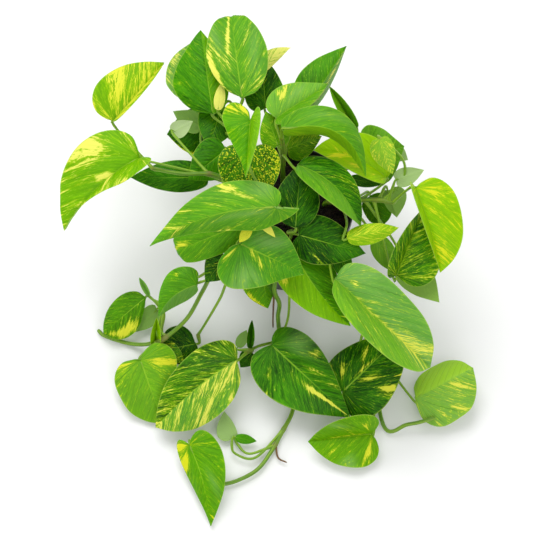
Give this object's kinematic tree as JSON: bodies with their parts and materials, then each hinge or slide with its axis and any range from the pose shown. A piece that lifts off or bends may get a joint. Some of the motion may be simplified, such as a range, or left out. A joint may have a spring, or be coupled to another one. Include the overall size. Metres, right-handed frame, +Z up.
{
  "type": "potted golden pothos",
  "caption": "Trailing house plant with heart-shaped variegated leaves, standing in a round black nursery pot of soil.",
  "frame": {"origin": "centre of the pot's foot, on the surface it stands on", "axes": "+Z up along the pot's axis; the longest stems trail towards -Y, where the picture is taken from; +X is the picture's right"},
  "size_m": [0.3245, 0.3698, 0.2074],
  "materials": {
    "pot": "black moulded plastic, slightly shiny",
    "soil": "damp dark potting soil",
    "stem": "smooth green stem",
    "leaf_fresh": "waxy fresh green leaf with yellow and cream streaks",
    "leaf_dark": "waxy dark green leaf with yellow flecks",
    "leaf_yellow": "waxy leaf, mostly yellow-green",
    "leaf_pale": "dull pale green leaf underside"
  },
  "bodies": {
    "root": {"pot": "pot", "soil": "soil", "stem_left": "stem", "stem_back_left": "stem", "stem_back": "stem", "stem_right": "stem", "stem_centre": "stem", "stem_front_left": "stem", "stem_front": "stem", "stem_front_right": "stem", "leaf_top": "leaf_fresh", "leaf_top_left": "leaf_fresh", "leaf_top_left_back": "leaf_pale", "leaf_top_cream": "leaf_pale", "leaf_top_dark": "leaf_dark", "leaf_top_right": "leaf_fresh", "leaf_back_right": "leaf_fresh", "leaf_back_folded": "leaf_dark", "leaf_high_right": "leaf_fresh", "leaf_right_yellow": "leaf_yellow", "leaf_high_front": "leaf_fresh", "leaf_left_dark": "leaf_dark", "leaf_left_upper": "leaf_yellow", "leaf_left_large": "leaf_yellow", "leaf_left_low": "leaf_dark", "leaf_left_inner": "leaf_dark", "leaf_mosaic": "leaf_dark", "leaf_front_large": "leaf_fresh", "leaf_front_round": "leaf_dark", "leaf_centre_front": "leaf_fresh", "leaf_front_dark": "leaf_dark", "leaf_centre_upright": "leaf_dark", "leaf_centre_right": "leaf_dark", "leaf_centre_flat": "leaf_dark", "leaf_right_under": "leaf_dark", "leaf_front_right": "leaf_fresh", "leaf_right_band": "leaf_yellow", "leaf_right_large": "leaf_fresh", "leaf_right_mottled": "leaf_yellow", "leaf_far_right": "leaf_yellow", "leaf_right_young": "leaf_pale", "leaf_right_wavy": "leaf_fresh", "leaf_right_olive": "leaf_pale", "leaf_right_inner": "leaf_dark", "leaf_right_round": "leaf_dark", "leaf_right_back": "leaf_fresh", "leaf_right_pale": "leaf_pale", "leaf_rim": "leaf_dark", "leaf_trail_upper": "leaf_fresh", "leaf_trail_far_left": "leaf_fresh", "leaf_trail_pale": "leaf_pale", "leaf_trail_dark": "leaf_dark", "leaf_trail_heart": "leaf_fresh", "leaf_trail_long": "leaf_fresh", "leaf_trail_centre": "leaf_dark", "leaf_trail_mottled": "leaf_dark", "leaf_trail_low": "leaf_fresh", "leaf_trail_far_right": "leaf_fresh", "leaf_trail_tip": "leaf_fresh"}
  },
  "joints": []
}
